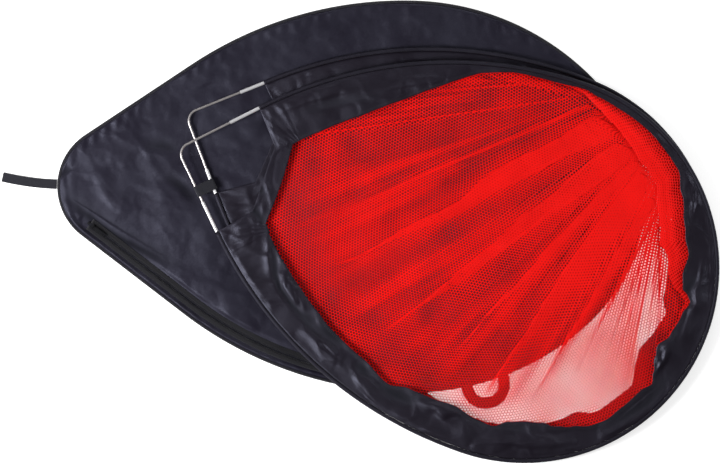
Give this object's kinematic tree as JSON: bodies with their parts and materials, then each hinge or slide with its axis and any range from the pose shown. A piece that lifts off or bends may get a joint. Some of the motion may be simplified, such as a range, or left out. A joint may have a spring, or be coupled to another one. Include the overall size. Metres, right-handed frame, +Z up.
{
  "type": "folded pop-up sports goal",
  "caption": "Folded pop-up sports goal: stacked teardrop hoops with nylon borders, a red net, steel corner rods and a tie strap, lying on its zipped teardrop carry bag.",
  "frame": {"origin": "centre of the footprint, on the floor", "axes": "+X from the bag's hanging tail towards the hoops' round ends, +Y towards the bag's long upper edge, +Z up"},
  "size_m": [1.2551, 0.8088, 0.0236],
  "materials": {
    "nylon": "satin woven nylon",
    "webbing": "ribbed webbing",
    "mesh": "knitted mesh",
    "rod_steel": "drawn",
    "ferrule": "bright plated",
    "zip_plastic": "moulded coil",
    "zip_metal": "black lacquer"
  },
  "bodies": {
    "bag": {"bag_back_panel": "nylon", "bag_front_panel": "nylon", "bag_binding": "webbing", "bag_handle": "webbing", "zip_inner_tape": "webbing", "zip_outer_tape": "webbing", "zip_inner_coil": "zip_plastic", "zip_outer_coil": "zip_plastic", "zip_stops": "zip_metal"},
    "tail": {"bag_tail_loop": "webbing"},
    "slider": {"zip_slider": "zip_metal"},
    "pull": {"zip_pull": "zip_metal"},
    "goal": {"ground_corner_rod": "rod_steel", "ground_rod": "rod_steel", "ground_upper_ferrule": "ferrule", "ground_lower_ferrule": "ferrule", "ground_sleeve": "nylon", "ground_border": "nylon", "net_sheet": "mesh", "net_fold": "mesh", "tie_strap": "webbing"},
    "strap_flap": {"tie_flap": "webbing"},
    "front_hoop": {"front_corner_rod": "rod_steel", "front_rod": "rod_steel", "front_upper_ferrule": "ferrule", "front_lower_ferrule": "ferrule", "front_sleeve": "nylon", "front_border": "nylon"}
  },
  "joints": [
    {"name": "goal_lift", "type": "slide", "parent": "bag", "child": "goal", "axis": [0, 0, 1], "range_m": [0, 0.3]},
    {"name": "front_hoop_swing", "type": "hinge", "parent": "goal", "child": "front_hoop", "pos_m": [-0.28357, 0.07005, 0.0196], "axis": [0.4321, -0.9018, 0], "range_deg": [0, 90]},
    {"name": "tie_flap_open", "type": "hinge", "parent": "goal", "child": "strap_flap", "pos_m": [-0.28623, 0.06878, 0.02039], "axis": [0.4321, -0.9018, 0], "range_deg": [0, 150]},
    {"name": "zip_slide", "type": "slide", "parent": "bag", "child": "slider", "axis": [0.7934, -0.6088, 0], "range_m": [0, 0.19]},
    {"name": "zip_pull_swing", "type": "hinge", "parent": "slider", "child": "pull", "pos_m": [-0.46585, 0.00791, 0.00655], "axis": [-0.6088, -0.7934, 0], "range_deg": [0, 170]},
    {"name": "tail_loop_swing", "type": "hinge", "parent": "bag", "child": "tail", "pos_m": [-0.5311, 0.08274, 0.0011], "axis": [0.0349, 0.9994, 0], "range_deg": [0, 90]}
  ]
}
